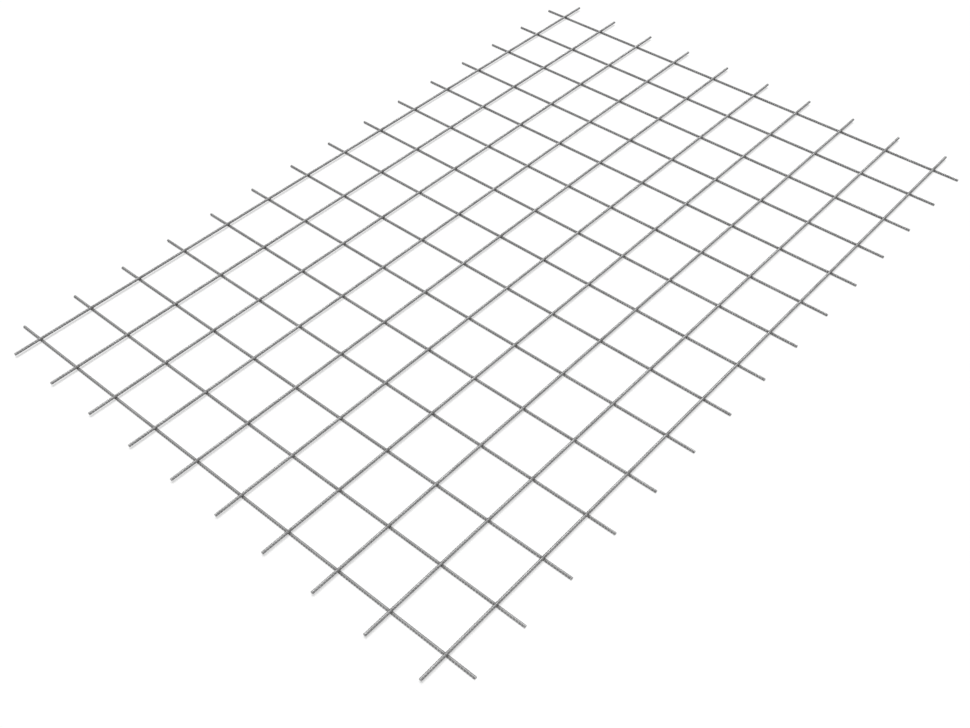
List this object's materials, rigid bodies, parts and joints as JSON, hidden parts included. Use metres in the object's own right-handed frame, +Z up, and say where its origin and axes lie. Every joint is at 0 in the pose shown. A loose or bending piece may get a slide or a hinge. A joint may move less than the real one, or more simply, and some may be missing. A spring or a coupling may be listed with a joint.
{
  "type": "welded wire mesh panel",
  "caption": "Flat sheet of welded steel reinforcing mesh: ribbed long bars over cross bars, welded in square cells, with free bar ends all round.",
  "frame": {"origin": "middle of the sheet, on the plane that the underside of the cross bars rests on", "axes": "+X along the long bars, +Y along the cross bars, +Z up through the sheet, long bars on top"},
  "size_m": [3, 2, 0.0185],
  "materials": {
    "plain_steel": "plain mill steel, ribbed, dull grey with bright tops"
  },
  "bodies": {
    "root": {"welded_mesh_panel": "plain_steel"}
  },
  "joints": []
}
